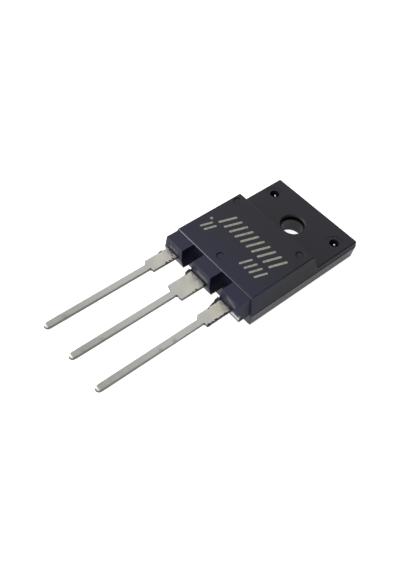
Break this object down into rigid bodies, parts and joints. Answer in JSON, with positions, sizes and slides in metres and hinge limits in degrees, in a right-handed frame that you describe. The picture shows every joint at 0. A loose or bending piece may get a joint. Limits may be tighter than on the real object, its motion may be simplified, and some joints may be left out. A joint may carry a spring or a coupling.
{
  "type": "power transistor",
  "caption": "Fully moulded power transistor: thin tab with a mounting hole, thick block with notched pedestals, and long flat tinned leads with wide roots.",
  "frame": {"origin": "axis of the mounting hole at the package's back face", "axes": "+X towards the emitter lead's side, +Y along the package towards the tab's far edge, +Z out of the front face; the leads point along -Y"},
  "size_m": [0.0158, 0.0421, 0.0056],
  "materials": {
    "black_epoxy": "fine matt moulded grain above the parting line, smoother below it",
    "tinned_copper": "satin tin over copper, slightly warm near the moulding",
    "soft_solder": "dull",
    "silicon": "polished with a metallised top",
    "bond_aluminium": "drawn wire",
    "marking_ink": "thin flat ink"
  },
  "bodies": {
    "root": {"moulded_package": "black_epoxy", "header_with_collector_lead": "tinned_copper", "base_lead": "tinned_copper", "emitter_lead": "tinned_copper", "die_attach_solder": "soft_solder", "silicon_die": "silicon", "base_bond_wire": "bond_aluminium", "emitter_bond_wire_1": "bond_aluminium", "emitter_bond_wire_2": "bond_aluminium"}
  },
  "joints": []
}
